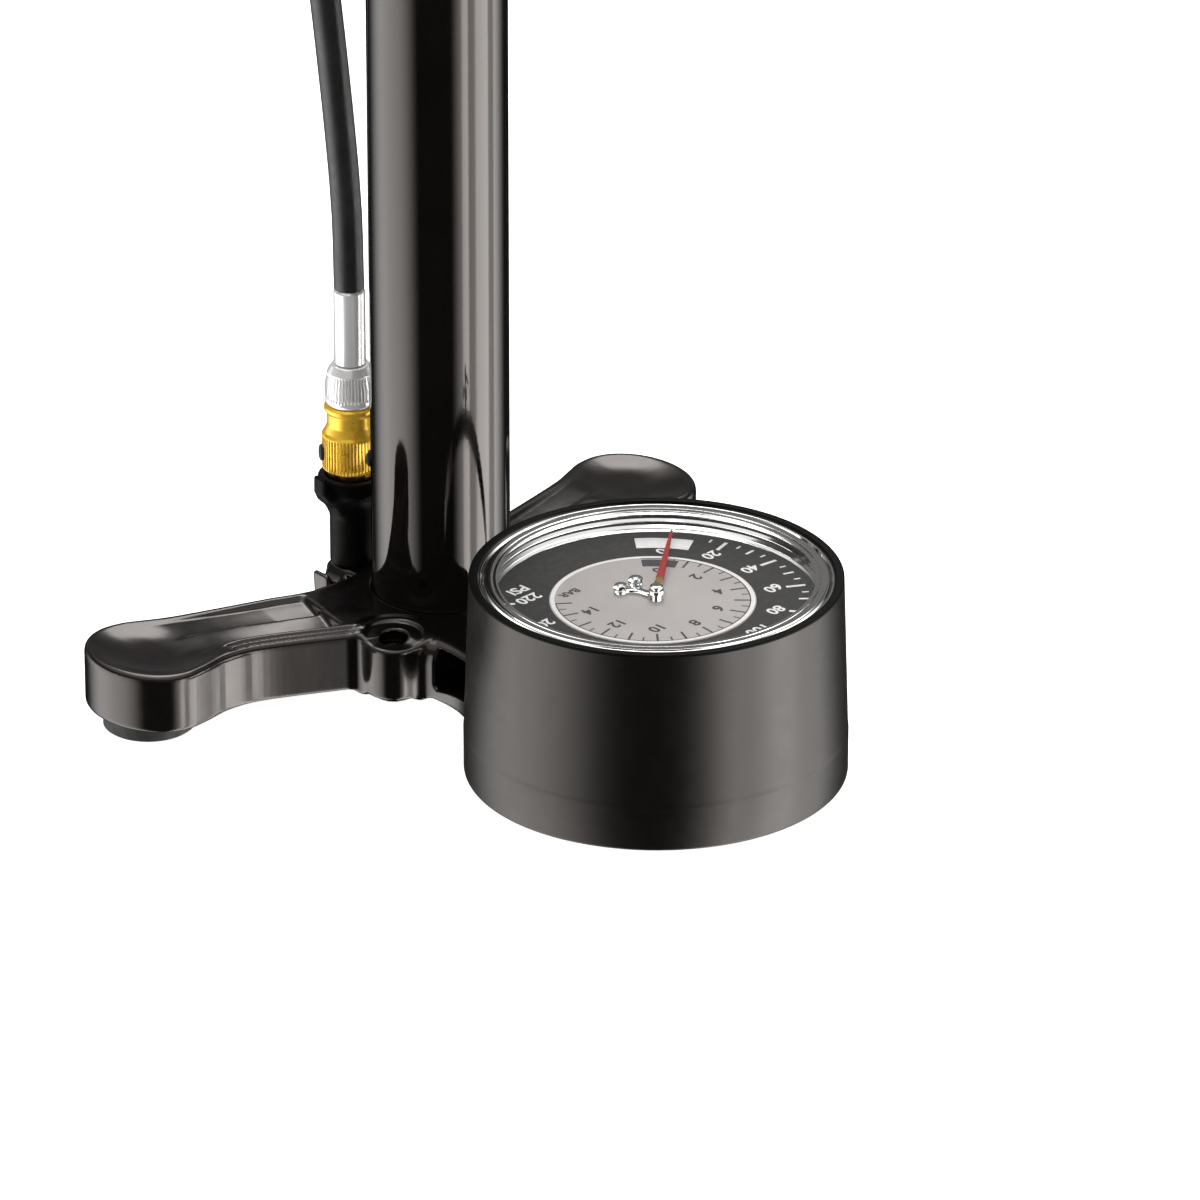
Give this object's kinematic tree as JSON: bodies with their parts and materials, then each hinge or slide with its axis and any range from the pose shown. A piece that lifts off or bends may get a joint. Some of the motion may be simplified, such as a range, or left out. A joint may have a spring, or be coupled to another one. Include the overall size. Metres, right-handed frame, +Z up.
{
  "type": "floor bike pump",
  "caption": "Upright floor bike pump with a cast base on splayed legs, a dial gauge on a front arm, a T handle, and a hose whose screw-on chuck parks in a dock behind the barrel.",
  "frame": {"origin": "on the floor, under the middle of the bounding box of the pump without its hose and chuck", "axes": "+Z up along the barrel, -Y towards the gauge, +X towards the right leg as seen from the gauge side"},
  "size_m": [0.25, 0.1892, 0.61],
  "materials": {
    "black_paint": "gloss black",
    "black_cast": "cast, gloss black paint",
    "black_satin": "satin black anodised",
    "rubber": "matt",
    "chrome": "polished",
    "steel": "plain",
    "silver_aluminium": "bright",
    "gold_aluminium": "gold anodised",
    "brass": "turned",
    "dial_dark": "printed",
    "dial_light": "printed",
    "needle_red": "satin",
    "lens": "clear",
    "grip_wood": "oiled",
    "black_plastic": "moulded"
  },
  "bodies": {
    "pump_body": {"base_casting": "black_cast", "valve_cover": "steel", "base_bolt_left": "steel", "base_bolt_right": "steel", "foot_pad_left": "rubber", "foot_pad_right": "rubber", "gauge_foot_ring": "rubber", "check_valve_spring": "steel", "chuck_dock": "black_plastic", "dock_screw_front": "steel", "dock_screw_rear": "steel", "gauge_can": "black_satin", "movement_plate": "steel", "dial_plate": "dial_dark", "dial_inner_disc": "dial_light", "bezel_ring": "chrome", "gauge_lens": "lens", "gauge_stem": "brass", "stem_nut": "brass", "bourdon_coil": "brass", "gauge_air_tube": "brass", "dial_bridge": "chrome", "bridge_screw_inner": "chrome", "bridge_screw_outer": "chrome", "barrel_tube": "black_paint", "barrel_cap": "black_satin", "rod_bushing": "brass", "rod_wiper": "rubber", "hose_hook": "black_plastic", "hose_nipple": "brass", "base_ferrule": "silver_aluminium", "hose": "rubber", "chuck_ferrule": "silver_aluminium", "chuck_collar": "silver_aluminium"},
    "plunger": {"piston_rod": "chrome", "piston_head": "black_plastic", "piston_cup": "rubber", "piston_nut": "steel", "rod_bumper": "rubber", "handle_hub": "black_satin", "roll_pin": "steel", "handle_bar": "steel", "grip_left": "grip_wood", "grip_right": "grip_wood", "grip_end_left": "silver_aluminium", "grip_end_right": "silver_aluminium"},
    "needle": {"needle_shaft": "steel", "gauge_needle": "needle_red", "needle_hub": "chrome"},
    "check_valve": {"check_valve_poppet": "brass"},
    "chuck_head": {"chuck_body": "gold_aluminium", "chuck_gasket": "rubber", "chuck_dot_a": "rubber", "chuck_dot_b": "rubber", "chuck_dot_c": "rubber"}
  },
  "joints": [
    {"name": "pump_stroke", "type": "slide", "parent": "pump_body", "child": "plunger", "axis": [0, 0, 1], "range_m": [0, 0.48]},
    {"name": "needle_sweep", "type": "hinge", "parent": "pump_body", "child": "needle", "pos_m": [0, -0.043, 0.0515], "axis": [0, 0, -1], "range_deg": [0, 262], "stiffness_Nm_per_rad": 0.0004},
    {"name": "check_valve_lift", "type": "slide", "parent": "pump_body", "child": "check_valve", "axis": [0, 0, -1], "range_m": [0, 0.0016], "stiffness_N_per_m": 120, "springref_m": -0.002, "deforming": ["check_valve_spring"]},
    {"name": "chuck_spin", "type": "hinge", "parent": "pump_body", "child": "chuck_head", "pos_m": [0, 0.0856, 0.05], "axis": [0, 0, 1], "continuous": true}
  ]
}
